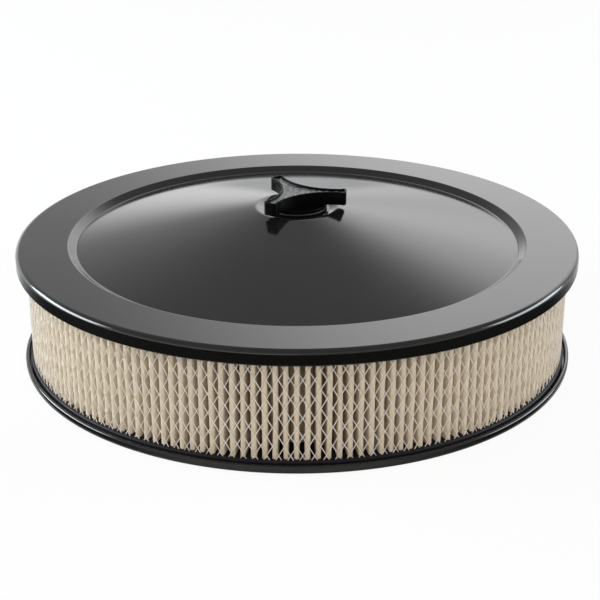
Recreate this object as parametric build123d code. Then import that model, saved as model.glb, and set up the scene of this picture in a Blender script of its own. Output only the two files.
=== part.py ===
from build123d import *
import math
import os

# Round drop-on air cleaner with a pleated paper element. Sizes are in millimetres.
# The base stands on z = 0 and everything is built about the Z axis.

# Stamped sheet
sheet = 0.9

# Filter element
element_outer_radius = 171.4
element_depth = 22.3
element_height = 73.4
seal_thickness = 5.2
seal_overhang = 1.4
seal_edge_radius = 1.0
screen_thickness = 0.5
paper_thickness = 0.6
pleat_count = 180
fold_width = 1.1
paper_clearance = 0.15

# Diamond gaps of the screens
gap_columns = 60
gap_rows = 2
strand_width = 1.2

# Base pan, whose rim stands around the element
rim_clearance = 0.8
rim_height = 4.8
rim_curl_radius = 1.2
rim_curl_width = 2.6
rim_curl_return = 2.1
pan_corner_radius = 1.6
pan_step_height = 4.5

# Neck of the pan, which drops over the carburetor's horn
neck_bore_radius = 65.5
neck_wall_length = 8.1
neck_entry_radius = 2.0
throat_radius = 58.7

# Neck gasket
gasket_thickness = 2.4
gasket_edge_clearance = 0.6
gasket_width = 3.6

# Lid, which reaches a little past the pan
lid_overhang = 1.6
lip_height = 9.6
lip_curl_radius = 1.5
lip_curl_width = 3.2
lip_curl_return = 2.6
shoulder_radius = 3.0
lid_step_depth = 3.4
crest_rise = 19.2
crest_roundness = 8.0
dimple_depth = 1.4
dimple_floor_radius = 20.5
dimple_wall_run = 5.5
dimple_roundness = 2.5

# The steps of the lid and pan centre the element from inside
step_clearance = 2.5
step_run = 5.0
step_roundness = 2.2

# Washers under the nut
rubber_washer_radius = 16.0
rubber_washer_thickness = 0.7
steel_washer_radius = 19.0
steel_washer_thickness = 0.9

# Stud and its holes
stud_radius = 3.175
stud_length = 98.0
stud_chamfer = 0.6
upper_thread_length = 32.0
lower_thread_length = 16.0
shank_radius = 2.75
hole_clearance = 0.45
thread_clearance = 0.05

# Three-arm nut
arm_count = 3
arm_reach = 31.2
arm_end_width = 8.8
arm_end_roundness = 2.2
arm_height = 8.5
arm_heading = -4.0
waist_radius = 9.8
skirt_radius = 18.6
skirt_height = 1.9
nut_recess_depth = 1.4
nut_rim_width = 1.0
nut_edge_radius = 0.35

# Threaded insert of the nut
insert_sides = 6
insert_flat_radius = 5.0
insert_length = 7.4
insert_end_clearance = 1.0

# Heights that follow from the sizes above
element_bottom = sheet
element_top = element_bottom + element_height
flange_top = element_top + sheet
crest_top = flange_top + crest_rise
dimple_top = crest_top - dimple_depth
washer_top = dimple_top + rubber_washer_thickness + steel_washer_thickness
arm_bottom = washer_top + skirt_height
nut_top = arm_bottom + arm_height
insert_top = washer_top + insert_length
stud_top = insert_top - insert_end_clearance
paper_bottom = element_bottom + seal_thickness
paper_top = element_top - seal_thickness
shelf_underside = pan_step_height + neck_entry_radius + neck_wall_length + gasket_thickness

# Radii that follow from the sizes above
crest_radius = dimple_floor_radius + dimple_wall_run
element_inner_radius = element_outer_radius - element_depth
seal_outer_radius = element_outer_radius + seal_overhang
seal_inner_radius = element_inner_radius - seal_overhang
base_radius = seal_outer_radius + rim_clearance + rim_curl_width
lid_radius = base_radius + lid_overhang
step_outer_radius = seal_inner_radius - step_clearance
step_inner_radius = step_outer_radius - step_run
stud_hole_radius = stud_radius + hole_clearance
fold_outer_radius = element_outer_radius - screen_thickness - paper_clearance
fold_inner_radius = element_inner_radius + screen_thickness + paper_clearance


def turned(outline):
    """A solid of revolution about Z from a closed outline in the XZ plane."""
    return revolve(Plane.XZ * make_face(outline), Axis.Z)


def stamped(points, radii, side):
    """A sheet stamping turned about Z: the line through the points, thickened to one side."""
    face_line = FilletPolyline(*points, radius=radii)
    return turned(offset(face_line, amount=sheet, side=side, closed=True))


def washer(outer_radius, inner_radius, bottom, thickness):
    """A flat ring standing on the height given by bottom."""
    ring = Circle(outer_radius) - Circle(inner_radius)
    return extrude(Plane.XY.offset(bottom) * ring, thickness)


def lid():
    """Flange, step, cone and dimple of the lid, with its edge turned down and curled in."""
    curl_inside = lid_radius - lip_curl_width
    lip_bottom = flange_top - lip_height
    points = [
        (stud_hole_radius, dimple_top),
        (dimple_floor_radius, dimple_top),
        (crest_radius, crest_top),
        (step_inner_radius, flange_top - lid_step_depth),
        (step_outer_radius, flange_top),
        (lid_radius, flange_top),
        (lid_radius, lip_bottom),
        (curl_inside, lip_bottom),
        (curl_inside, lip_bottom + lip_curl_return),
    ]
    radii = [
        dimple_roundness,
        crest_roundness,
        step_roundness,
        step_roundness,
        shoulder_radius,
        lip_curl_radius,
        lip_curl_radius,
    ]
    return stamped(points, radii, Side.RIGHT)


def base_pan():
    """Neck, raised floor, channel for the element and curled rim of the pan."""
    curl_inside = base_radius - rim_curl_width
    points = [
        (throat_radius, shelf_underside),
        (neck_bore_radius, shelf_underside),
        (neck_bore_radius, pan_step_height),
        (step_inner_radius, pan_step_height),
        (step_outer_radius, 0),
        (base_radius, 0),
        (base_radius, rim_height),
        (curl_inside, rim_height),
        (curl_inside, rim_height - rim_curl_return),
    ]
    radii = [
        gasket_thickness,
        neck_entry_radius,
        step_roundness,
        step_roundness,
        pan_corner_radius,
        rim_curl_radius,
        rim_curl_radius,
    ]
    return stamped(points, radii, Side.LEFT)


def neck_gasket():
    """Flat ring under the neck's shelf, where the rim of the carburetor's horn seals."""
    outer_radius = neck_bore_radius - gasket_thickness - gasket_edge_clearance
    bottom = shelf_underside - gasket_thickness
    return washer(outer_radius, outer_radius - gasket_width, bottom, gasket_thickness)


def seal(bottom):
    """Moulded ring that closes one end of the element and is squeezed between pan and lid."""
    width = seal_outer_radius - seal_inner_radius
    centre = Pos((seal_outer_radius + seal_inner_radius) / 2, bottom + seal_thickness / 2)
    section = centre * RectangleRounded(width, seal_thickness, seal_edge_radius)
    return revolve(Plane.XZ * section, Axis.Z)


def pleat_wire(half_thickness):
    """One face of the folded strip: the zigzag with flat fold tips, moved out by half_thickness."""
    pitch = 2 * math.pi / pleat_count
    outer_tip = fold_outer_radius - paper_thickness / 2
    inner_tip = fold_inner_radius + paper_thickness / 2
    path = []
    for index in range(pleat_count):
        for radius, middle in ((outer_tip, index * pitch), (inner_tip, (index + 0.5) * pitch)):
            spread = fold_width / 2 / radius
            for angle in (middle - spread, middle + spread):
                path.append(Vector(radius * math.cos(angle), radius * math.sin(angle)))
    moved = []
    for index, point in enumerate(path):
        before = (point - path[index - 1]).normalized()
        after = (path[(index + 1) % len(path)] - point).normalized()
        outward = Vector(before.Y + after.Y, -before.X - after.X).normalized()
        miter = half_thickness / math.sqrt((1 + before.dot(after)) / 2)
        moved.append(point + outward * miter)
    return Wire.make_polygon(moved, close=True)


def pleated_paper():
    """Folded paper band between the two seals."""
    half = paper_thickness / 2
    band = Face(pleat_wire(half), [pleat_wire(-half)])
    return extrude(Plane.XY.offset(paper_bottom) * band, paper_top - paper_bottom)


def strand_outline(border_length):
    """Corners of the folded strand that fills half a column, as (share of its width, height)."""
    level_height = (paper_top - paper_bottom - border_length) / (gap_rows + 1)
    crotch = border_length / 2 / level_height
    last = gap_rows + 1
    left_side = []
    right_side = []
    for level in range(last + 1):
        middle = paper_bottom + border_length / 2 + level * level_height
        ends = [middle - border_length / 2, middle + border_length / 2]
        on_right = level % 2 == 1
        near_side = right_side if on_right else left_side
        far_side = left_side if on_right else right_side
        near_side += [(1 if on_right else 0, end) for end in ends]
        if 0 < level < last:
            far_side.append((1 - crotch if on_right else crotch, middle))
    return right_side + left_side[::-1]


def screen(inner_radius):
    """Round screen of zigzag strands that meet at the corners of staggered diamond gaps."""
    half_columns = 2 * gap_columns
    column_angle = 2 * math.pi / half_columns
    strand_run = inner_radius * column_angle
    strand_rise = (paper_top - paper_bottom) / (gap_rows + 1)
    border_length = strand_width / math.cos(math.atan2(strand_rise, strand_run))
    outline = strand_outline(border_length)
    faces = []
    for index in range(half_columns):
        first = Vector(math.cos(index * column_angle), math.sin(index * column_angle))
        second = Vector(math.cos((index + 1) * column_angle), math.sin((index + 1) * column_angle))
        left, right = (first, second) if index % 2 == 0 else (second, first)
        rings = []
        for radius in (inner_radius + screen_thickness, inner_radius):
            ring = [(left * (1 - share) + right * share) * radius + Vector(0, 0, z) for share, z in outline]
            rings.append(ring)
            faces.append(Face(Wire.make_polygon(ring, close=True)))
        for corner, (share, _) in enumerate(outline):
            before = corner - 1
            if outline[before][0] != share:
                quad = [rings[0][before], rings[0][corner], rings[1][corner], rings[1][before]]
                faces.append(Face(Wire.make_polygon(quad[:3], close=True)))
                faces.append(Face(Wire.make_polygon([quad[0], quad[2], quad[3]], close=True)))
    return Solid(Shell(faces))


def outer_screen():
    """Screen around the outside of the pleats."""
    return screen(element_outer_radius - screen_thickness)


def inner_screen():
    """Screen around the inside of the pleats."""
    return screen(element_inner_radius)


def rubber_washer():
    """Sealing washer in the dimple of the lid."""
    return washer(rubber_washer_radius, stud_hole_radius, dimple_top, rubber_washer_thickness)


def steel_washer():
    """Steel washer between the rubber washer and the nut."""
    bottom = dimple_top + rubber_washer_thickness
    return washer(steel_washer_radius, stud_hole_radius, bottom, steel_washer_thickness)


def arm_outline():
    """Plan of the nut: arms with cut ends, joined by hollow sides."""
    step = math.radians(360 / arm_count)
    half_width = arm_end_width / 2
    sides = []
    for index in range(arm_count):
        along = index * step
        following = along + step
        between = along + step / 2
        end_low = Vector(arm_reach, -half_width).rotate(Axis.Z, math.degrees(along))
        end_high = Vector(arm_reach, half_width).rotate(Axis.Z, math.degrees(along))
        next_low = Vector(arm_reach, -half_width).rotate(Axis.Z, math.degrees(following))
        waist = Vector(waist_radius * math.cos(between), waist_radius * math.sin(between))
        sides.append(Line(end_low, end_high))
        sides.append(ThreePointArc(end_high, waist, next_low))
    plan = make_face(Wire(sides))
    corners = plan.vertices().filter_by(lambda corner: Vector(*corner).length > arm_reach / 2)
    return Rot(0, 0, arm_heading) * fillet(corners, arm_end_roundness)


def insert_plan():
    """Hexagon of the threaded insert."""
    return RegularPolygon(insert_flat_radius, insert_sides, major_radius=False)


def knob():
    """Moulded three-arm nut with a round skirt and a sunk top."""
    plan = arm_outline()
    body = extrude(Plane.XY.offset(arm_bottom) * plan, arm_height)
    body += Pos(0, 0, washer_top) * Cylinder(
        skirt_radius, skirt_height, align=(Align.CENTER, Align.CENTER, Align.MIN)
    )
    top_edges = body.edges().group_by(Axis.Z)[-1]
    body = fillet(top_edges, nut_edge_radius)
    recess = offset(plan, amount=-nut_rim_width, kind=Kind.INTERSECTION)
    body -= extrude(Plane.XY.offset(nut_top - nut_recess_depth) * recess, nut_recess_depth)
    body -= extrude(Plane.XY.offset(washer_top) * insert_plan(), insert_length)
    return body


def knob_insert():
    """Threaded hexagon moulded into the nut, shown with a plain bore."""
    plan = insert_plan() - Circle(stud_radius + thread_clearance)
    return extrude(Plane.XY.offset(washer_top) * plan, insert_length)


def stud():
    """Rod from the nut down to the carburetor: two threads, shown plain, on a thinner shank."""
    stud_bottom = stud_top - stud_length
    shank_bottom = stud_bottom + lower_thread_length
    shank_top = stud_top - upper_thread_length
    points = [
        (0, stud_bottom),
        (stud_radius - stud_chamfer, stud_bottom),
        (stud_radius, stud_bottom + stud_chamfer),
        (stud_radius, shank_bottom),
        (shank_radius, shank_bottom),
        (shank_radius, shank_top),
        (stud_radius, shank_top),
        (stud_radius, stud_top - stud_chamfer),
        (stud_radius - stud_chamfer, stud_top),
        (0, stud_top),
    ]
    return turned(Polyline(*points, close=True))


def save(name, solid):
    """Writes one piece as a STEP file named after it."""
    solid.label = name
    export_step(solid, os.path.join("parts", name + ".step"))


def main():
    """Builds every piece and writes it."""
    os.makedirs("parts", exist_ok=True)
    save("lid", lid())
    save("base_pan", base_pan())
    save("neck_gasket", neck_gasket())
    save("upper_seal", seal(paper_top))
    save("lower_seal", seal(element_bottom))
    save("pleated_paper", pleated_paper())
    save("outer_screen", outer_screen())
    save("inner_screen", inner_screen())
    save("rubber_washer", rubber_washer())
    save("steel_washer", steel_washer())
    save("knob", knob())
    save("knob_insert", knob_insert())
    save("stud", stud())


main()
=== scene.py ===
"""Round drop-on air cleaner: its finished pieces, their finishes and the studio around them."""

from __future__ import annotations

import logging
import math
from dataclasses import dataclass
from enum import Enum
from typing import Callable, Sequence

import bmesh
import bpy
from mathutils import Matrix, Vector

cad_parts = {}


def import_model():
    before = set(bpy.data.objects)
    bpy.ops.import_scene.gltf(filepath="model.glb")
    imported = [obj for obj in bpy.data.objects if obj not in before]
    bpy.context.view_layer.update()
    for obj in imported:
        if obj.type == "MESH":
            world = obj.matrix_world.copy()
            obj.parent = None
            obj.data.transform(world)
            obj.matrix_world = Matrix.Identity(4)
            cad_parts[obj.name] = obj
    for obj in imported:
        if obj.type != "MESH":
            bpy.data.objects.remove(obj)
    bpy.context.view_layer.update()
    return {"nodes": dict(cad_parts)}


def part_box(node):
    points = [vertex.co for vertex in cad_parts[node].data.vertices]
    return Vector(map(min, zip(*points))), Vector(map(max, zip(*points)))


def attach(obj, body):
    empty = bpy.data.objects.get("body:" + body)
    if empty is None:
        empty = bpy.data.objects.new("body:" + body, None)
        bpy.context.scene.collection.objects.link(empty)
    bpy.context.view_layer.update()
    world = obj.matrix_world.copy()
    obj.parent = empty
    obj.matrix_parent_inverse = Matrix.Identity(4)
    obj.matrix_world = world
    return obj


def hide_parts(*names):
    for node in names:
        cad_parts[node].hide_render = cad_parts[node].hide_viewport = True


LOG = logging.getLogger("air_cleaner")
MM = 0.001
FULL_TURN = 2 * math.pi
ORIGIN = (0.0, 0.0, 0.0)
UP = (0.0, 0.0, 1.0)
WELD_DISTANCE = 0.002 * MM
SAME_HEIGHT = 0.01 * MM
# Share of a radius, or of a unit normal, that counts as nearly the whole.
NEARLY_ALL = 0.9
# Middle of a noise that runs from 0 to 1.
MIDDLE = 0.5
# How far a point that keeps a flat flat lies from its arc, and the most of the arc's reach that this may be.
HOLD_DISTANCE = 0.2 * MM
HOLD_SHARE = 0.05

Point = tuple[float, float]
Corner = tuple[float, float, float]
Colour = tuple[float, float, float]
Settings = dict[str, object]
Inputs = dict[str | int, object]


class Body(Enum):
    """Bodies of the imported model."""

    BASE = "base"
    FILTER = "filter"
    LID = "lid"
    KNOB = "knob"
    STUD = "stud"


class Slot(Enum):
    """Names of material slots for the finished pieces, which the script passes along but doesn't use."""

    PAINT = "black_paint"
    PAPER = "filter_paper"
    SCREEN = "screen_metal"
    SEAL = "moulded_seal"
    RUBBER = "gasket_rubber"
    PLASTIC = "black_plastic"
    WASHER = "washer_steel"
    STUD = "stud_steel"


class Value:
    """One socket of a shader graph, with arithmetic that adds Math nodes."""

    def __init__(self, graph: Graph, socket: bpy.types.NodeSocket) -> None:
        """Wraps an output socket of a graph."""
        self.graph = graph
        self.socket = socket

    def __add__(self, other: Value | float) -> Value:
        """This plus the other."""
        return self.graph.math("ADD", self, other)

    def __sub__(self, other: Value | float) -> Value:
        """This minus the other."""
        return self.graph.math("SUBTRACT", self, other)

    def __rsub__(self, other: float) -> Value:
        """A number minus this."""
        return self.graph.math("SUBTRACT", other, self)

    def __mul__(self, other: Value | float) -> Value:
        """This times the other."""
        return self.graph.math("MULTIPLY", self, other)

    __radd__ = __add__
    __rmul__ = __mul__

    def clamped(self) -> Value:
        """This kept between 0 and 1."""
        return self.graph.math("MINIMUM", self.graph.math("MAXIMUM", self, 0.0), 1.0)


class Graph:
    """The node tree of one material or world."""

    def __init__(self, tree: bpy.types.NodeTree) -> None:
        """Empties a node tree, to fill it."""
        self.tree = tree
        self.tree.nodes.clear()

    def node(self, kind: str, settings: Settings, inputs: Inputs) -> bpy.types.Node:
        """Adds a node.

        Args:
            kind: Type name of the node.
            settings: Attributes that are set before any socket.
            inputs: Values, colours or wrapped sockets by socket name or number.

        Returns:
            The new node.
        """
        made = self.tree.nodes.new(kind)
        for name, setting in settings.items():
            setattr(made, name, setting)
        for key, given in inputs.items():
            if isinstance(given, Value):
                self.tree.links.new(given.socket, made.inputs[key])
            else:
                made.inputs[key].default_value = given
        return made

    def value(self, kind: str, settings: Settings, inputs: Inputs, output: str | int = 0) -> Value:
        """Adds a node, and wraps its output of that name or number."""
        return Value(self, self.node(kind, settings, inputs).outputs[output])

    def math(self, operation: str, first: Value | float, second: Value | float) -> Value:
        """The result of an operation on two numbers, one of them a socket's."""
        return self.value("ShaderNodeMath", {"operation": operation}, {0: first, 1: second})

    def place(self, stretch: Sequence[float] = (1.0, 1.0, 1.0)) -> Value:
        """Object coordinates, scaled along each axis."""
        plain = self.value("ShaderNodeTexCoord", {}, {}, "Object")
        return self.value("ShaderNodeMapping", {}, {"Vector": plain, "Scale": tuple(stretch)})

    def parts(self, vector: Value) -> list[Value]:
        """The X, Y and Z of a vector."""
        split = self.node("ShaderNodeSeparateXYZ", {}, {"Vector": vector})
        return [Value(self, output) for output in split.outputs]

    def blend(self, factor: Value, first: Colour, second: Colour) -> Value:
        """A colour between two.

        Args:
            factor: 0 or less for the first colour, and 1 or more for the second.
            first: First colour.
            second: Second colour.

        Returns:
            The colour.
        """
        settings = {"data_type": "RGBA", "clamp_factor": True}
        # The names of this node's sockets repeat, so they go by number.
        inputs = {0: factor, 6: (*first, 1.0), 7: (*second, 1.0)}
        return self.value("ShaderNodeMix", settings, inputs, 2)

    def ramp(self, value: Value, span: Point, first: float, last: float) -> Value:
        """A smooth step from one level to another, as a value goes from one end of a span to the other."""
        inputs = {"Value": value, "From Min": span[0], "From Max": span[1], "To Min": first, "To Max": last}
        return self.value("ShaderNodeMapRange", {"interpolation_type": "SMOOTHSTEP"}, inputs)


def surface(name: str, shade: Callable[[Graph], Value]) -> bpy.types.Material:
    """Makes a material.

    Args:
        name: Name of the material.
        shade: Adds the nodes and returns the shader.

    Returns:
        The material.
    """
    material = bpy.data.materials.new(name)
    material.use_nodes = True
    graph = Graph(material.node_tree)
    graph.node("ShaderNodeOutputMaterial", {}, {"Surface": shade(graph)})
    return material


@dataclass(frozen=True)
class Pattern:
    """A noise over a surface, with its shares in the mix of two colours and in the roughness."""

    size: float
    tint: float = 0.0
    roughness: float = 0.0
    detail: float = 2.0
    stretch: Sequence[float] = (1.0, 1.0, 1.0)


@dataclass(frozen=True)
class Finish:
    """A finish between two colours. Its patterns vary it, and the last of them is also its relief."""

    name: str
    dark: Colour
    pale: Colour
    roughness: float
    patterns: Sequence[Pattern]
    relief: float
    tint: float = MIDDLE
    metallic: float = 0.0
    shine: float = 0.5

    def material(self) -> bpy.types.Material:
        """Makes the material."""
        return surface(self.name, self.shade)

    def shade(self, graph: Graph) -> Value:
        """Adds the nodes.

        Args:
            graph: The material's graph.

        Returns:
            The shader.
        """
        tint = self.tint
        roughness = self.roughness
        for pattern in self.patterns:
            place = graph.place(pattern.stretch)
            grains = {"Vector": place, "Scale": 1 / pattern.size, "Detail": pattern.detail}
            noise = graph.value("ShaderNodeTexNoise", {}, grains)
            swing = noise - MIDDLE
            if pattern.tint:
                tint = tint + pattern.tint * swing
            if pattern.roughness:
                roughness = roughness + pattern.roughness * swing
        relief = {"Height": noise, "Distance": self.relief, "Strength": 1.0}
        inputs = {
            "Base Color": graph.blend(tint, self.dark, self.pale),
            "Metallic": self.metallic,
            "Roughness": roughness,
            "Specular IOR Level": self.shine,
            "Normal": graph.value("ShaderNodeBump", {}, relief),
        }
        return graph.value("ShaderNodeBsdfPrincipled", {}, inputs)


@dataclass(frozen=True)
class SatinPaint(Finish):
    """Baked black paint on sheet steel, with a fine orange peel."""

    name: str = "satin_black_paint"
    dark: Colour = (0.005, 0.005, 0.0048)
    pale: Colour = (0.009, 0.009, 0.0085)
    roughness: float = 0.115
    patterns: Sequence[Pattern] = (Pattern(45 * MM, tint=1.0, roughness=0.05), Pattern(1.6 * MM, detail=1.0))
    relief: float = 0.004 * MM


@dataclass(frozen=True)
class FilterPaper(Finish):
    """Cream resin-treated paper with short fibres."""

    name: str = "filter_paper"
    dark: Colour = (0.70, 0.60, 0.455)
    pale: Colour = (0.79, 0.72, 0.61)
    roughness: float = 0.9
    patterns: Sequence[Pattern] = (
        Pattern(9 * MM, tint=0.65),
        Pattern(0.35 * MM, tint=0.5, stretch=(1.0, 1.0, 0.3)),
    )
    relief: float = 0.03 * MM
    tint: float = 0.475
    shine: float = 0.2


@dataclass(frozen=True)
class SheetMetal(Finish):
    """Bare metal with a fine grain."""

    patterns: Sequence[Pattern] = (
        Pattern(6 * MM, tint=1.0, roughness=0.25),
        Pattern(0.5 * MM, roughness=0.15),
    )
    relief: float = 0.003 * MM
    metallic: float = 1.0


@dataclass(frozen=True)
class Elastomer(Finish):
    """Moulded soft plastic or rubber."""

    patterns: Sequence[Pattern] = (Pattern(12 * MM, tint=1.0), Pattern(0.6 * MM, roughness=0.2))
    relief: float = 0.02 * MM


@dataclass(frozen=True)
class SmoothPlastic(Finish):
    """Black moulded plastic of the nut's walls and rim."""

    name: str = "nut_smooth"
    dark: Colour = (0.002, 0.002, 0.002)
    pale: Colour = (0.003, 0.003, 0.003)
    roughness: float = 0.28
    patterns: Sequence[Pattern] = (Pattern(0.7 * MM, tint=6.0, roughness=0.15, detail=3.0),)
    relief: float = 0.002 * MM
    tint: float = 0.0
    shine: float = 0.05


@dataclass(frozen=True)
class GrainAndGlintPlastic(Finish):
    """The same plastic with the coarse grain of the nut's sunk top, whose pale flecks are painted glints of
    light on the grain.
    """

    name: str = "nut_grain_and_painted_glints"
    dark: Colour = (0.002, 0.002, 0.002)
    # The pale colour is painted glints: lighter spots where the grain would catch the light, not flecks in
    # the plastic.
    pale: Colour = (0.26, 0.27, 0.29)
    roughness: float = 0.3
    patterns: Sequence[Pattern] = (Pattern(1.6 * MM, tint=6.0, roughness=0.15, detail=3.0),)
    relief: float = 0.4 * MM
    tint: float = 0.0


def swung(point: Vector, angle: float) -> Vector:
    """A point of the plane turned about the origin."""
    cosine, sine = math.cos(angle), math.sin(angle)
    return Vector((point.x * cosine - point.y * sine, point.x * sine + point.y * cosine))


def arc(centre: Vector, start: Vector, end: Vector, steps: int) -> list[Vector]:
    """Points on the shorter arc between two points.

    Args:
        centre: Middle of the arc.
        start: First point.
        end: Last point.
        steps: Edges along the arc.

    Returns:
        The points, with both ends.
    """
    first = start - centre
    turn = first.angle_signed(end - centre)
    return [centre + swung(first, -turn * step / steps) for step in range(steps + 1)]


def rounded(corners: Sequence[Corner], arc_steps: int = 7) -> list[Point]:
    """Rounds the corners of an open line.

    Args:
        corners: Corners of the line, each with its radius; the first and last stay sharp.
        arc_steps: Edges along each arc.

    Returns:
        Points along the line, with one close before and after each arc to keep flats flat.
    """
    places = [Vector(corner[:2]) for corner in corners]
    line = [places[0]]
    for before, corner, after, (_, _, radius) in zip(places, places[1:], places[2:], corners[1:]):
        back = (before - corner).normalized()
        ahead = (after - corner).normalized()
        half_angle = back.angle(ahead) / 2
        reach = radius / math.tan(half_angle)
        centre = corner + (back + ahead).normalized() * (radius / math.sin(half_angle))
        start = corner + back * reach
        end = corner + ahead * reach
        hold = min(HOLD_DISTANCE, reach * HOLD_SHARE)
        line += [start + back * hold, *arc(centre, start, end, arc_steps), end + ahead * hold]
    line.append(places[-1])
    return [(point.x, point.y) for point in line]


class Blank:
    """A mesh object that is shaped with the edit operators."""

    def __init__(self, name: str, size: float = 1.0) -> None:
        """Adds a flat primitive and names it.

        Args:
            name: Name of the piece.
            size: Width of the primitive.
        """
        self.rest()
        bpy.ops.mesh.primitive_plane_add(size=size, location=ORIGIN)
        self.object = bpy.context.view_layer.objects.active
        self.object.name = name
        self.object.data.name = name

    def rest(self) -> None:
        """Leaves edit mode and deselects everything."""
        if bpy.context.view_layer.objects.active and bpy.context.mode != "OBJECT":
            bpy.ops.object.mode_set(mode="OBJECT")
        bpy.ops.object.select_all(action="DESELECT")

    def choose(self) -> None:
        """Makes this the active object, and the only one that is selected."""
        self.rest()
        self.object.select_set(True)
        bpy.context.view_layer.objects.active = self.object

    def edit(self) -> None:
        """Opens this piece in edit mode."""
        self.choose()
        bpy.ops.object.mode_set(mode="EDIT")

    def select_all(self) -> None:
        """Selects the whole mesh in edit mode."""
        bpy.ops.mesh.select_all(action="SELECT")

    def select(self, kind: str, test: Callable[[object], bool]) -> None:
        """Selects parts of the mesh in edit mode.

        Args:
            kind: verts, edges or faces.
            test: Says whether a part is selected.
        """
        modes = {"verts": "VERT", "edges": "EDGE", "faces": "FACE"}
        bpy.ops.mesh.select_mode(type=modes[kind])
        bpy.ops.mesh.select_all(action="DESELECT")
        mesh = bmesh.from_edit_mesh(self.object.data)
        for part in getattr(mesh, kind):
            part.select_set(bool(test(part)))
        mesh.select_flush_mode()
        bmesh.update_edit_mesh(self.object.data)

    def draw(self, points: Sequence[Sequence[float]]) -> None:
        """Turns the primitive into a line of edges.

        Args:
            points: Points of the line in three dimensions.
        """
        self.edit()
        bpy.ops.mesh.select_mode(type="VERT")
        self.select_all()
        bpy.ops.mesh.merge(type="CENTER")
        bpy.ops.transform.translate(value=points[0])
        for before, after in zip(points, points[1:]):
            step = tuple(b - a for a, b in zip(before, after))
            bpy.ops.mesh.extrude_vertices_move(TRANSFORM_OT_translate={"value": step})

    def raise_by(self, height: float) -> None:
        """Extrudes what is selected upwards."""
        bpy.ops.mesh.extrude_region_move(TRANSFORM_OT_translate={"value": (0.0, 0.0, height)})

    def turn(self, steps: int, angle: float = FULL_TURN, copies: bool = False) -> None:
        """Spins the whole mesh about Z.

        Args:
            steps: Number of steps.
            angle: Angle that they make together.
            copies: Whether the mesh is repeated rather than swept.
        """
        self.select_all()
        bpy.ops.mesh.spin(steps=steps, angle=angle, center=ORIGIN, axis=UP, dupli=copies)
        self.weld(WELD_DISTANCE)

    def weld(self, distance: float) -> None:
        """Merges points that lie closer than a distance, and turns all faces outwards.

        Args:
            distance: The distance in metres.
        """
        self.select_all()
        bpy.ops.mesh.remove_doubles(threshold=distance)
        bpy.ops.mesh.normals_make_consistent(inside=False)

    def face_towards(self, way: Sequence[float], test: Callable[[object], bool]) -> None:
        """Turns an open sheet over if the faces that pass a test look the wrong way.

        Args:
            way: Direction that those faces should look in.
            test: Picks the faces to look at.
        """
        mesh = bmesh.from_edit_mesh(self.object.data)
        looks = sum(face.normal.dot(Vector(way)) for face in mesh.faces if test(face))
        if looks < 0:
            self.select_all()
            bpy.ops.mesh.flip_normals()

    def apply(self, kind: str, settings: Settings) -> None:
        """Adds a modifier and applies it.

        Args:
            kind: Type of the modifier.
            settings: Its attributes.
        """
        self.choose()
        bpy.ops.object.modifier_add(type=kind)
        modifier = self.object.modifiers[-1]
        for name, setting in settings.items():
            setattr(modifier, name, setting)
        bpy.ops.object.modifier_apply(modifier=modifier.name)

    def smooth(self, degrees: float = 38.0) -> None:
        """Shades the piece smooth up to an angle.

        Args:
            degrees: Largest angle that stays smooth.
        """
        self.choose()
        bpy.ops.object.shade_smooth_by_angle(angle=math.radians(degrees))
        self.rest()

    def join(self, other: Blank) -> None:
        """Takes another piece's mesh into this one.

        Args:
            other: The piece to take in.
        """
        self.choose()
        other.object.select_set(True)
        bpy.ops.object.join()

    def dress(self, material: bpy.types.Material, slot: Slot, body: Body, node: str) -> None:
        """Gives the piece its finish and its place in the model.

        Args:
            material: Material of the whole piece, where it has none yet.
            slot: Material slot; not used.
            body: Body that it rides on.
            node: CAD node that it stands for.
        """
        if not self.object.data.materials:
            self.object.data.materials.append(material)
        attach(self.object, body.value)
        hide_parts(node)
        LOG.info("%s: %d faces, rides on %s", self.object.name, len(self.object.data.polygons), body.value)


def spun_sheet(name: str, line: Sequence[Point], thickness: float, steps: int, top_up: bool) -> Blank:
    """A round stamping: an open line turned about Z and given its thickness.

    Args:
        name: Name of the piece.
        line: Points of the outer side as (radius, height).
        thickness: Thickness of the sheet.
        steps: Number of steps round the axis.
        top_up: Whether the broad faces of the outer side look up.

    Returns:
        The piece.
    """
    piece = Blank(name)
    piece.draw([(radius, 0.0, height) for radius, height in line])
    piece.turn(steps)
    piece.face_towards((0.0, 0.0, 1.0 if top_up else -1.0), lambda face: abs(face.normal.z) > NEARLY_ALL)
    piece.apply("SOLIDIFY", {"thickness": thickness, "offset": -1.0, "use_even_offset": True})
    piece.smooth()
    return piece


def spun_ring(name: str, line: Sequence[Point], steps: int) -> Blank:
    """A solid ring or rod: a closed outline turned about Z.

    Args:
        name: Name of the piece.
        line: Corners of the outline as (radius, height), the first given again at the end.
        steps: Number of steps round the axis.

    Returns:
        The piece.
    """
    piece = Blank(name)
    piece.draw([(radius, 0.0, height) for radius, height in line])
    piece.turn(steps)
    piece.smooth()
    return piece


def flat_ring(name: str, radii: Point, heights: Point, edge: float, steps: int) -> Blank:
    """A flat ring with rounded edges.

    Args:
        name: Name of the piece.
        radii: Inner and outer radius.
        heights: Height of the underside and of the top.
        edge: Radius of the rounded edges.
        steps: Number of steps round the axis.

    Returns:
        The piece.
    """
    inner, outer = radii
    bottom, top = heights
    middle = (inner + outer) / 2
    corners = [
        (middle, bottom, 0.0),
        (outer, bottom, edge),
        (outer, top, edge),
        (inner, top, edge),
        (inner, bottom, edge),
        (middle, bottom, 0.0),
    ]
    return spun_ring(name, rounded(corners, arc_steps=4), steps)


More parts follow.
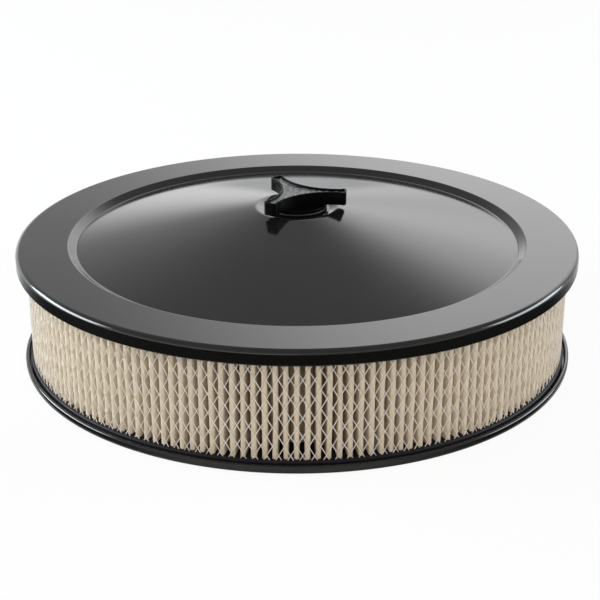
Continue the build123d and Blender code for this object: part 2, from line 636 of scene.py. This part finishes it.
@dataclass
class Lid:
    """Stamped lid with the two washers that lie in its dimple."""

    paint: bpy.types.Material
    rubber: bpy.types.Material
    steel: bpy.types.Material
    sheet: float = 0.9 * MM
    lip_height: float = 9.6 * MM
    lip_curl_radius: float = 1.5 * MM
    lip_curl_width: float = 3.2 * MM
    lip_curl_return: float = 2.6 * MM
    shoulder_radius: float = 3.0 * MM
    step_depth: float = 3.4 * MM
    step_outer_radius: float = 145.2 * MM
    step_run: float = 5.0 * MM
    step_roundness: float = 2.2 * MM
    crest_rise: float = 19.2 * MM
    crest_radius: float = 26.0 * MM
    crest_roundness: float = 8.0 * MM
    dimple_depth: float = 1.4 * MM
    dimple_floor_radius: float = 20.5 * MM
    dimple_roundness: float = 2.5 * MM
    hole_radius: float = 3.625 * MM
    washer_edge: float = 0.3 * MM
    steps: int = 256
    washer_steps: int = 96

    def outline(self) -> list[Point]:
        """Outer side of the stamping, from the hole to the curled edge."""
        low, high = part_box("lid")
        radius = high[0]
        flange_top = low[2] + self.lip_height
        crest_top = flange_top + self.crest_rise
        dimple_top = crest_top - self.dimple_depth
        curl_inside = radius - self.lip_curl_width
        corners = [
            (self.hole_radius, dimple_top, 0.0),
            (self.dimple_floor_radius, dimple_top, self.dimple_roundness),
            (self.crest_radius, crest_top, self.crest_roundness),
            (self.step_outer_radius - self.step_run, flange_top - self.step_depth, self.step_roundness),
            (self.step_outer_radius, flange_top, self.step_roundness),
            (radius, flange_top, self.shoulder_radius),
            (radius, low[2], self.lip_curl_radius),
            (curl_inside, low[2], self.lip_curl_radius),
            (curl_inside, low[2] + self.lip_curl_return, 0.0),
        ]
        return rounded(corners)

    def build(self) -> None:
        """Builds the lid and its washers."""
        plate = spun_sheet("lid_plate", self.outline(), self.sheet, self.steps, top_up=True)
        plate.dress(self.paint, Slot.PAINT, Body.LID, "lid")
        washers = (("rubber_washer", self.rubber, Slot.RUBBER), ("steel_washer", self.steel, Slot.WASHER))
        for node, material, slot in washers:
            low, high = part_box(node)
            radii = (self.hole_radius, high[0])
            ring = flat_ring(f"{node}_ring", radii, (low[2], high[2]), self.washer_edge, self.washer_steps)
            ring.dress(material, slot, Body.LID, node)


@dataclass
class BasePan:
    """Stamped pan with its neck, and the gasket under the neck."""

    paint: bpy.types.Material
    rubber: bpy.types.Material
    sheet: float = 0.9 * MM
    rim_height: float = 4.8 * MM
    rim_curl_radius: float = 1.2 * MM
    rim_curl_width: float = 2.6 * MM
    rim_curl_return: float = 2.1 * MM
    corner_radius: float = 1.6 * MM
    step_height: float = 4.5 * MM
    step_outer_radius: float = 145.2 * MM
    step_run: float = 5.0 * MM
    step_roundness: float = 2.2 * MM
    neck_radius: float = 65.5 * MM
    neck_entry_radius: float = 2.0 * MM
    shelf_roundness: float = 2.4 * MM
    throat_radius: float = 58.7 * MM
    gasket_width: float = 3.6 * MM
    gasket_edge: float = 0.4 * MM
    steps: int = 256
    gasket_steps: int = 160

    def outline(self) -> list[Point]:
        """Outer side of the stamping, from the throat to the curled rim."""
        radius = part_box("base_pan")[1][0]
        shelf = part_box("neck_gasket")[1][2]
        curl_inside = radius - self.rim_curl_width
        corners = [
            (self.throat_radius, shelf, 0.0),
            (self.neck_radius, shelf, self.shelf_roundness),
            (self.neck_radius, self.step_height, self.neck_entry_radius),
            (self.step_outer_radius - self.step_run, self.step_height, self.step_roundness),
            (self.step_outer_radius, 0.0, self.step_roundness),
            (radius, 0.0, self.corner_radius),
            (radius, self.rim_height, self.rim_curl_radius),
            (curl_inside, self.rim_height, self.rim_curl_radius),
            (curl_inside, self.rim_height - self.rim_curl_return, 0.0),
        ]
        return rounded(corners)

    def build(self) -> None:
        """Builds the pan and its gasket."""
        pan = spun_sheet("pan_shell", self.outline(), self.sheet, self.steps, top_up=False)
        pan.dress(self.paint, Slot.PAINT, Body.BASE, "base_pan")
        low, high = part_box("neck_gasket")
        radii = (high[0] - self.gasket_width, high[0])
        ring = flat_ring("neck_gasket_ring", radii, (low[2], high[2]), self.gasket_edge, self.gasket_steps)
        ring.dress(self.rubber, Slot.RUBBER, Body.BASE, "neck_gasket")


@dataclass
class DiamondScreen:
    """Round expanded-metal screen: flat strands that lean over between staggered diamond gaps."""

    node: str
    metal: bpy.types.Material
    mid_radius: float
    bottom: float
    top: float
    gap_width: float = 6.55 * MM
    rows: int = 6
    strand_width: float = 0.46 * MM
    lean: float = 0.2 * MM
    thickness: float = 0.34 * MM
    smooth_degrees: float = 30.0

    def build(self) -> None:
        """Builds the screen as one net of squares, halved into staggered diamonds that are then cut out."""
        row_height = (self.top - self.bottom) / self.rows
        heights = [self.bottom + row * row_height for row in range(self.rows + 1)]
        net = Blank(f"{self.node}_net")
        net.draw([(self.mid_radius, 0.0, height) for height in heights])
        net.turn(round(FULL_TURN * self.mid_radius / self.gap_width))
        east = self.mid_radius * NEARLY_ALL
        net.face_towards((1.0, 0.0, 0.0), lambda face: face.calc_center_median().x > east)
        net.select_all()
        bpy.ops.mesh.poke()
        net.select("edges", lambda edge: self.is_between_corners(edge, heights))
        bpy.ops.mesh.dissolve_edges(use_verts=False)
        bpy.ops.mesh.select_mode(type="FACE")
        net.select_all()
        bpy.ops.mesh.inset(thickness=self.strand_width / 2, use_individual=True, use_even_offset=True)
        self.lean_strands(net)
        net.select("faces", self.is_gap)
        bpy.ops.mesh.delete(type="FACE")
        net.apply("SOLIDIFY", {"thickness": self.thickness, "offset": 0.0})
        net.smooth(self.smooth_degrees)
        net.dress(self.metal, Slot.SCREEN, Body.FILTER, self.node)

    def is_between_corners(self, edge: bmesh.types.BMEdge, heights: Sequence[float]) -> bool:
        """Whether an inner edge joins two corners of the first squares.

        Args:
            edge: The edge.
            heights: Heights of the corners.

        Returns:
            Whether it does.
        """
        ends = (vert.co.z for vert in edge.verts)
        on_rows = all(any(abs(end - height) < SAME_HEIGHT for height in heights) for end in ends)
        return on_rows and not edge.is_boundary

    def is_gap(self, face: bmesh.types.BMFace) -> bool:
        """Whether a face fills a gap rather than a strand."""
        return face.calc_area() > self.gap_width * self.strand_width

    def lean_strands(self, net: Blank) -> None:
        """Moves the lower corner of each gap outwards and the upper corner inwards.

        Args:
            net: The net, with a face in each gap.
        """
        mesh = bmesh.from_edit_mesh(net.object.data)
        lows = set()
        highs = set()
        for face in mesh.faces:
            if self.is_gap(face) and len(face.verts) == 4:
                ordered = sorted(face.verts, key=lambda vert: vert.co.z)
                lows.add(ordered[0].index)
                highs.add(ordered[-1].index)
        for chosen, way in ((lows, 1.0), (highs, -1.0)):
            net.select("verts", lambda vert: vert.index in chosen)
            ratio = 1 + way * self.lean / self.mid_radius
            bpy.ops.transform.resize(value=(ratio, ratio, 1.0), center_override=ORIGIN)


@dataclass
class FilterElement:
    """Pleated paper between two screens, with a moulded ring at each end."""

    paper: bpy.types.Material
    metal: bpy.types.Material
    seal: bpy.types.Material
    pleats: int = 180
    paper_thickness: float = 0.35 * MM
    fold_width: float = 2.6 * MM
    fold_radius: float = 1.0 * MM
    fold_clearance: float = 0.8 * MM
    layers: int = 8
    wander: float = 1.5 * MM
    wander_size: float = 9 * MM
    wander_stretch: float = 5.0
    paper_smooth_degrees: float = 60.0
    screen_thickness: float = 0.5 * MM
    paper_sink: float = 1.6 * MM
    screen_sink: float = 3.0 * MM
    seal_edge: float = 1.0 * MM
    crown_foot_radius: float = 0.2 * MM
    crown_run: float = 3.0 * MM
    crown_rise: float = 0.5 * MM
    arc_steps: int = 4
    steps: int = 256

    def pleat(self, outer: float, inner: float) -> list[Point]:
        """Plan of one pleat, from the middle of an inner fold to the next.

        Args:
            outer: Radius of the outer fold's tip.
            inner: Radius of the inner fold's tip.

        Returns:
            Points of the line in the plane of the pan.
        """
        half = math.pi / self.pleats
        spread = self.fold_width / 2
        near = half - spread / inner
        fold = self.fold_radius
        corners = [
            (inner * math.cos(half), -inner * math.sin(half), 0.0),
            (inner * math.cos(near), -inner * math.sin(near), fold),
            (outer, -spread, fold),
            (outer, spread, fold),
            (inner * math.cos(near), inner * math.sin(near), fold),
            (inner * math.cos(half), inner * math.sin(half), 0.0),
        ]
        return rounded(corners, self.arc_steps)

    def build_paper(self) -> None:
        """Builds one pleat, repeats it round the axis and lets the folds wander a little."""
        low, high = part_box("pleated_paper")
        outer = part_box("outer_screen")[1][0] - self.screen_thickness
        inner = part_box("inner_screen")[1][0]
        line = self.pleat(outer - self.fold_clearance, inner + self.fold_clearance)
        bottom = low[2] - self.paper_sink
        band = Blank("paper_pleats")
        band.draw([(x, y, bottom) for x, y in line])
        band.select_all()
        for _ in range(self.layers):
            band.raise_by((high[2] - low[2] + 2 * self.paper_sink) / self.layers)
        band.turn(self.pleats, copies=True)
        self.let_wander(band)
        band.apply("SOLIDIFY", {"thickness": self.paper_thickness, "offset": 0.0})
        band.smooth(self.paper_smooth_degrees)
        band.dress(self.paper, Slot.PAPER, Body.FILTER, "pleated_paper")

    def let_wander(self, band: Blank) -> None:
        """Shifts the folds by a slow cloud pattern, stretched along their height.

        Args:
            band: The pleated band.
        """
        cloud = bpy.data.textures.new("fold_wander", "CLOUDS")
        cloud.noise_scale = self.wander_size
        cloud.cloud_type = "COLOR"
        ruler = bpy.data.objects.new("fold_ruler", None)
        bpy.context.scene.collection.objects.link(ruler)
        ruler.scale = (1.0, 1.0, self.wander_stretch)
        bpy.context.view_layer.update()
        settings = {
            "texture": cloud,
            "texture_coords": "OBJECT",
            "texture_coords_object": ruler,
            "direction": "RGB_TO_XYZ",
            "mid_level": MIDDLE,
            "strength": self.wander,
        }
        band.apply("DISPLACE", settings)
        bpy.data.objects.remove(ruler)

    def build_seal(self, node: str, paper_side_up: bool) -> None:
        """Builds a moulded ring with a slightly raised face where the paper stands in it.

        Args:
            node: Name of the CAD node.
            paper_side_up: Whether the paper stands on its top.
        """
        low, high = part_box(node)
        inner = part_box("inner_screen")[1][0]
        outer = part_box("outer_screen")[1][0]
        outer_edge = high[0]
        inner_edge = inner - self.screen_thickness - (outer_edge - outer)
        flat, foot = (low[2], high[2]) if paper_side_up else (high[2], low[2])
        rise = self.crown_rise if paper_side_up else -self.crown_rise
        middle = (inner + outer) / 2
        edge = self.seal_edge
        corners = [
            (middle, flat, 0.0),
            (outer_edge, flat, edge),
            (outer_edge, foot, edge),
            (outer - self.screen_thickness, foot, self.crown_foot_radius),
            (outer - self.crown_run, foot + rise, edge),
            (inner + self.crown_run, foot + rise, edge),
            (inner, foot, self.crown_foot_radius),
            (inner_edge, foot, edge),
            (inner_edge, flat, edge),
            (middle, flat, 0.0),
        ]
        ring = spun_ring(f"{node}_ring", rounded(corners, self.arc_steps), self.steps)
        ring.dress(self.seal, Slot.SEAL, Body.FILTER, node)

    def build(self) -> None:
        """Builds the paper, the two screens and the two rings."""
        self.build_paper()
        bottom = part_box("lower_seal")[1][2] - self.screen_sink
        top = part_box("upper_seal")[0][2] + self.screen_sink
        for node in ("outer_screen", "inner_screen"):
            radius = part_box(node)[1][0] - self.screen_thickness / 2
            DiamondScreen(node, self.metal, radius, bottom, top).build()
        self.build_seal("lower_seal", paper_side_up=True)
        self.build_seal("upper_seal", paper_side_up=False)


@dataclass
class ArmNut:
    """Three-arm moulded nut with a round skirt and a sunk top."""

    plastic: bpy.types.Material
    # Finish of the sunk top: its grain, with painted glints in its colour.
    grain_and_glints: bpy.types.Material
    arms: int = 3
    arm_reach: float = 31.2 * MM
    arm_end_width: float = 8.8 * MM
    arm_end_roundness: float = 2.2 * MM
    arm_height: float = 8.5 * MM
    heading: float = math.radians(-4.0)
    waist_radius: float = 9.8 * MM
    recess_depth: float = 1.4 * MM
    rim_width: float = 1.0 * MM
    edge_radius: float = 0.35 * MM
    edge_segments: int = 3
    edge_angle: float = math.radians(50.0)
    bore_radius: float = 3.225 * MM
    skirt_radius: float = 18.6 * MM
    skirt_edge: float = 0.3 * MM
    skirt_overlap: float = 0.05 * MM
    skirt_steps: int = 96
    end_steps: int = 5
    arc_steps: int = 14
    smooth_degrees: float = 35.0

    def plan(self) -> list[Point]:
        """Plan of the arms, as a closed line that starts and ends in the same place."""
        half_width = self.arm_end_width / 2
        sector = FULL_TURN / self.arms
        line: list[Vector] = []
        for index in range(self.arms):
            along = self.heading + index * sector
            corner = swung(Vector((self.arm_reach, half_width)), along)
            waist = swung(Vector((self.waist_radius, 0.0)), along + sector / 2)
            following = swung(Vector((self.arm_reach, -half_width)), along + sector)
            line += self.arm_end(along) + self.hollow(corner, waist, following)
        line.append(line[0])
        return [(point.x, point.y) for point in line]

    def arm_end(self, along: float) -> list[Vector]:
        """Rounded corners at the end of one arm.

        Args:
            along: Direction of the arm.

        Returns:
            Points of the two roundings.
        """
        radius = self.arm_end_roundness
        quarter = math.pi / 2
        points = []
        for side, start in ((-1.0, -quarter), (1.0, 0.0)):
            centre = Vector((self.arm_reach - radius, side * (self.arm_end_width / 2 - radius)))
            for step in range(self.end_steps + 1):
                spoke = swung(Vector((radius, 0.0)), start + quarter * step / self.end_steps)
                points.append(swung(centre + spoke, along))
        return points

    def hollow(self, first: Vector, middle: Vector, last: Vector) -> list[Vector]:
        """Hollow side between two arms: the arc through three points.

        Args:
            first: Corner of one arm.
            middle: Waist of the nut.
            last: Corner of the next arm.

        Returns:
            Points of the arc between its ends.
        """
        inward = (first + last) / 2 - middle
        chord = (last - first).length / 2
        radius = (chord**2 + inward.length**2) / (2 * inward.length)
        return arc(middle + inward.normalized() * radius, first, last, self.arc_steps)[1:-1]

    def build(self) -> None:
        """Builds the nut from its arms and its skirt."""
        low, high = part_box("knob")
        underside = high[2] - self.arm_height
        arms = Blank("nut_arms")
        arms.draw([(x, y, underside) for x, y in self.plan()])
        arms.weld(WELD_DISTANCE)
        arms.select_all()
        bpy.ops.mesh.edge_face_add()
        arms.raise_by(self.arm_height)
        bpy.ops.mesh.inset(thickness=self.rim_width, use_even_offset=True)
        arms.raise_by(-self.recess_depth)
        arms.select_all()
        bpy.ops.mesh.normals_make_consistent(inside=False)
        self.grain_floor(arms, high[2] - self.recess_depth)
        settings = {"width": self.edge_radius, "segments": self.edge_segments}
        arms.apply("BEVEL", {**settings, "limit_method": "ANGLE", "angle_limit": self.edge_angle})
        radii = (self.bore_radius, self.skirt_radius)
        heights = (low[2], underside + self.skirt_overlap)
        skirt = flat_ring("nut_skirt", radii, heights, self.skirt_edge, self.skirt_steps)
        skirt.object.data.materials.append(self.plastic)
        arms.join(skirt)
        arms.smooth(self.smooth_degrees)
        arms.dress(self.plastic, Slot.PLASTIC, Body.KNOB, "knob")

    def grain_floor(self, arms: Blank, floor: float) -> None:
        """Gives the sunk top its grain and its painted glints.

        Args:
            arms: The nut.
            floor: Height of the sunk top.
        """
        arms.object.data.materials.append(self.plastic)
        arms.object.data.materials.append(self.grain_and_glints)
        arms.select(
            "faces",
            lambda face: abs(face.calc_center_median().z - floor) < SAME_HEIGHT
            and abs(face.normal.z) > NEARLY_ALL,
        )
        arms.object.active_material_index = 1
        bpy.ops.object.material_slot_assign()


@dataclass
class Stud:
    """Double-ended rod with a rolled thread at each end."""

    steel: bpy.types.Material
    pitch: float = 1.27 * MM
    thread_depth: float = 0.72 * MM
    flat_share: float = 0.125
    shank_radius: float = 2.75 * MM
    upper_thread: float = 32.0 * MM
    lower_thread: float = 16.0 * MM
    chamfer: float = 0.6 * MM
    weld_distance: float = 0.004 * MM
    spare_turns: int = 2
    steps: int = 32
    smooth_degrees: float = 30.0

    def thread(self, name: str, bottom: float, top: float, radius: float) -> Blank:
        """Builds one threaded end.

        Args:
            name: Name of the piece.
            bottom: Lower end.
            top: Upper end.
            radius: Outer radius of the thread.

        Returns:
            The threaded rod.
        """
        root = radius - self.thread_depth
        flat = self.pitch * self.flat_share
        slope = (self.pitch - 2 * flat) / 2
        heights = [0.0, flat, flat + slope, 2 * flat + slope, self.pitch]
        radii = [root, root, radius, radius, root]
        start = bottom - self.pitch
        rod = Blank(name)
        rod.draw([(r, 0.0, start + h) for r, h in zip(radii, heights)])
        settings = {
            "angle": FULL_TURN,
            "screw_offset": self.pitch,
            "iterations": math.ceil((top - bottom) / self.pitch) + self.spare_turns,
            "steps": self.steps,
            "render_steps": self.steps,
            "use_merge_vertices": True,
        }
        rod.apply("SCREW", settings)
        rod.edit()
        rod.weld(self.weld_distance)
        for height, way in ((bottom, -1.0), (top, 1.0)):
            rod.select_all()
            bpy.ops.mesh.bisect(plane_co=(0.0, 0.0, height), plane_no=(0.0, 0.0, way), clear_outer=True)
        rod.weld(self.weld_distance)
        bpy.ops.mesh.fill_holes(sides=0)
        rod.weld(self.weld_distance)
        return rod

    def build(self) -> None:
        """Builds the shank and both threads as one piece."""
        low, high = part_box("stud")
        bottom, top = low[2], high[2]
        radius = high[0]
        root = radius - self.thread_depth
        shank_bottom = bottom + self.lower_thread
        shank_top = top - self.upper_thread
        outline = [
            (0.0, bottom),
            (root - self.chamfer / 2, bottom),
            (root, bottom + self.chamfer),
            (root, shank_bottom),
            (self.shank_radius, shank_bottom),
            (self.shank_radius, shank_top),
            (root, shank_top),
            (root, top - self.chamfer),
            (root - self.chamfer / 2, top),
            (0.0, top),
        ]
        rod = spun_ring("stud_rod", outline, self.steps)
        rod.join(self.thread("lower_thread", bottom + self.chamfer, shank_bottom, radius))
        rod.join(self.thread("upper_thread", shank_top, top - self.chamfer, radius))
        rod.smooth(self.smooth_degrees)
        rod.dress(self.steel, Slot.STUD, Body.STUD, "stud")


@dataclass(frozen=True)
class Softbox:
    """A rectangular lamp that faces the object, and that the camera doesn't see.

    Its azimuth is in degrees to the right of straight behind the object, and its elevation in degrees above
    the floor. Its level is the brightness of its face, where 1 is white.
    """

    name: str
    azimuth: float
    level: float
    tint: Colour
    elevation: float = 20.0
    distance: float = 2.0
    width: float = 1.5
    height: float = 0.75
    in_gloss: bool = True

    def build(self) -> None:
        """Adds the lamp."""
        lamp = bpy.data.lights.new(self.name, "AREA")
        lamp.shape = "RECTANGLE"
        lamp.size = self.width
        lamp.size_y = self.height
        lamp.energy = self.level * math.pi * self.width * self.height
        lamp.color = self.tint
        holder = bpy.data.objects.new(self.name, lamp)
        bpy.context.scene.collection.objects.link(holder)
        turn = math.radians(self.azimuth)
        tilt = math.radians(self.elevation)
        away = Vector((math.sin(turn) * math.cos(tilt), math.cos(turn) * math.cos(tilt), math.sin(tilt)))
        holder.location = away * self.distance
        holder.rotation_euler = away.to_track_quat("Z", "Y").to_euler()
        holder.visible_camera = False
        holder.visible_glossy = self.in_gloss


@dataclass
class Studio:
    """White floor, soft lamps and the camera.

    Gloss also shows a black card on the floor in front of the object, and a room with pale walls, a dim
    ceiling and a broad window behind, to the right. A span is where a smooth step begins and ends.
    """

    lens: float = 84.43
    sensor_width: float = 36.0
    target: Sequence[float] = (0.0018, 0.0, 0.0292)
    distance: float = 0.91921
    elevation: float = math.radians(22.89)
    floor_size: float = 6.0
    floor_colour: Colour = (0.85, 0.85, 0.85)
    floor_glow: float = 0.92
    card_colour: Colour = (0.004, 0.004, 0.004)
    card_lift: float = 0.5 * MM
    card_steps: int = 48
    card_inner: float = 0.178
    card_outer: float = 1.4
    card_distance_span: Point = (0.19, 0.22)
    card_bearing_span: Point = (math.radians(56.0), math.radians(96.0))
    card_side_span: Point = (math.radians(138.0), math.radians(168.0))
    room_light: float = 0.4
    wall_gloss: float = 0.72
    ceiling_gloss: float = 0.47
    ceiling_span: Point = (0.35, 0.7)
    window_gloss: float = 1.55
    window_left_span: Point = (math.radians(-11), math.radians(7))
    window_right_span: Point = (math.radians(25), math.radians(50))
    window_lower_span: Point = (0.05, 0.36)
    window_upper_span: Point = (0.45, 0.68)
    below_window: float = 0.3
    horizon_gloss: float = 0.9
    horizon_span: Point = (0.08, 0.34)
    side_tint: Colour = (0.85, 0.94, 1.0)
    front_tint: Colour = (1.0, 0.77, 0.52)

    def floor_shade(self, graph: Graph) -> Value:
        """Matte to the light and bright to the camera.

        Args:
            graph: The material's graph.

        Returns:
            The shader.
        """
        matte = graph.value("ShaderNodeBsdfDiffuse", {}, {"Color": (*self.floor_colour, 1.0)})
        glow = graph.value("ShaderNodeEmission", {}, {"Color": (1.0, 1.0, 1.0, 1.0), "Strength": 1.0})
        share = graph.value("ShaderNodeLightPath", {}, {}, "Is Camera Ray") * self.floor_glow
        return graph.value("ShaderNodeMixShader", {}, {0: share, 1: matte, 2: glow})

    def floor(self) -> None:
        """Adds the pale floor."""
        plane = Blank("floor", self.floor_size)
        plane.object.data.materials.append(surface("white_floor", self.floor_shade))

    def card_shade(self, graph: Graph) -> Value:
        """Black in front, and clear close to the object and towards the sides.

        Args:
            graph: The material's graph.

        Returns:
            The shader.
        """
        matte = graph.value("ShaderNodeBsdfDiffuse", {}, {"Color": (*self.card_colour, 1.0)})
        clear = graph.value("ShaderNodeBsdfTransparent", {}, {})
        place = graph.place()
        x, y, _ = graph.parts(place)
        bearing = graph.math("ARCTAN2", graph.math("MAXIMUM", x, -1.0 * x), y)
        radius = graph.value("ShaderNodeVectorMath", {"operation": "LENGTH"}, {0: place}, "Value")
        beyond = graph.ramp(radius, self.card_distance_span, 0.0, 1.0)
        beside = graph.ramp(bearing, self.card_side_span, 1.0, 0.0)
        ahead = graph.ramp(bearing, self.card_bearing_span, 0.0, 1.0)
        share = ahead * graph.math("MAXIMUM", beyond, beside)
        return graph.value("ShaderNodeMixShader", {}, {0: share, 1: clear, 2: matte})

    def dark_card(self) -> None:
        """Lays a black card in front of the object, which only its gloss shows."""
        bearing = self.card_bearing_span[0]
        start = Vector((math.sin(bearing), math.cos(bearing), 0.0))
        lift = Vector((0.0, 0.0, self.card_lift))
        card = Blank("dark_card")
        card.draw([start * self.card_inner + lift, start * self.card_outer + lift])
        card.turn(self.card_steps, FULL_TURN - 2 * bearing)
        card.rest()
        card.object.data.materials.append(surface("black_card", self.card_shade))
        card.object.visible_camera = False
        card.object.visible_diffuse = False
        card.object.visible_shadow = False

    def world(self) -> None:
        """Lights the room: white to the camera, softer to what it lights."""
        world = bpy.data.worlds.new("studio")
        bpy.context.scene.world = world
        world.use_nodes = True
        graph = Graph(world.node_tree)
        path = graph.node("ShaderNodeLightPath", {}, {})
        kinds = ("Camera", "Glossy", "Transmission")
        camera, glossy, through = (Value(graph, path.outputs[f"Is {kind} Ray"]) for kind in kinds)
        seen = (camera + through).clamped()
        room = glossy * self.room_gloss(graph) + (1.0 - glossy) * self.room_light
        level = seen + (1.0 - seen) * room
        inputs = {"Color": (1.0, 1.0, 1.0, 1.0), "Strength": level}
        background = graph.value("ShaderNodeBackground", {}, inputs)
        graph.node("ShaderNodeOutputWorld", {}, {"Surface": background})

    def room_gloss(self, graph: Graph) -> Value:
        """Brightness of the room as gloss shows it.

        Args:
            graph: The world's graph.

        Returns:
            The brightness by direction.
        """
        x, y, height = graph.parts(graph.value("ShaderNodeTexCoord", {}, {}, "Generated"))
        bearing = graph.math("ARCTAN2", x, y)
        walls = graph.ramp(height, self.ceiling_span, self.wall_gloss, self.ceiling_gloss)
        left_edge = graph.ramp(bearing, self.window_left_span, 0.0, 1.0)
        right_edge = graph.ramp(bearing, self.window_right_span, 1.0, 0.0)
        lower_edge = graph.ramp(height, self.window_lower_span, self.below_window, 1.0)
        upper_edge = graph.ramp(height, self.window_upper_span, 1.0, 0.0)
        low_glow = graph.ramp(height, self.horizon_span, 1.0, 0.0) * (1.0 - left_edge)
        window = left_edge * right_edge * lower_edge * upper_edge
        return walls + self.window_gloss * window + self.horizon_gloss * low_glow

    def lamps(self) -> None:
        """Adds the softboxes."""
        Softbox("right_box", azimuth=80.0, level=9.0, tint=self.side_tint).build()
        Softbox("left_box", azimuth=-80.0, level=15.0, tint=self.side_tint).build()
        place = {"azimuth": 178.0, "elevation": 32.0, "distance": 2.6, "width": 1.6, "height": 1.0}
        Softbox("front_box", level=2.6, tint=self.front_tint, in_gloss=False, **place).build()

    def camera(self) -> None:
        """Adds the camera at the photograph's angle."""
        data = bpy.data.cameras.new("photo_camera")
        data.lens = self.lens
        data.sensor_width = self.sensor_width
        holder = bpy.data.objects.new("photo_camera", data)
        bpy.context.scene.collection.objects.link(holder)
        back = Vector((0.0, -math.cos(self.elevation), math.sin(self.elevation)))
        holder.location = Vector(self.target) + back * self.distance
        holder.rotation_euler = (math.pi / 2 - self.elevation, 0.0, 0.0)
        bpy.context.scene.camera = holder

    def build(self) -> None:
        """Builds the whole studio."""
        self.floor()
        self.dark_card()
        self.world()
        self.lamps()
        self.camera()
        bpy.context.scene.view_settings.view_transform = "Standard"


def main() -> None:
    """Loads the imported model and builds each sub-assembly."""
    logging.basicConfig(level=logging.INFO, format="%(name)s: %(message)s")
    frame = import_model()
    paint = SatinPaint().material()
    rubber = Elastomer("gasket_rubber", (0.012,) * 3, (0.03,) * 3, roughness=0.6).material()
    seal = Elastomer("moulded_seal", (0.006, 0.0055, 0.008), (0.013, 0.012, 0.017), roughness=0.5, shine=0.2)
    dull = SheetMetal("dull_steel", (0.06,) * 3, (0.10,) * 3, roughness=0.6)
    zinc = SheetMetal("bright_zinc", (0.60, 0.60, 0.58), (0.72, 0.72, 0.70), roughness=0.3)
    brass = SheetMetal("plain_brass", (0.66, 0.47, 0.2), (0.80, 0.60, 0.28), roughness=0.3).material()
    net = SheetMetal("screen_metal", (0.84, 0.78, 0.72), (0.92, 0.87, 0.82), roughness=0.4, metallic=0.25)
    Studio().build()
    BasePan(paint, rubber).build()
    FilterElement(FilterPaper().material(), net.material(), seal.material()).build()
    Lid(paint, rubber, dull.material()).build()
    ArmNut(SmoothPlastic().material(), GrainAndGlintPlastic().material()).build()
    Stud(zinc.material()).build()
    insert = frame["nodes"]["knob_insert"]
    for slot in insert.material_slots:
        slot.material = brass
    LOG.info("%s: keeps its own mesh, in brass", insert.name)


if __name__ == "__main__":
    main()
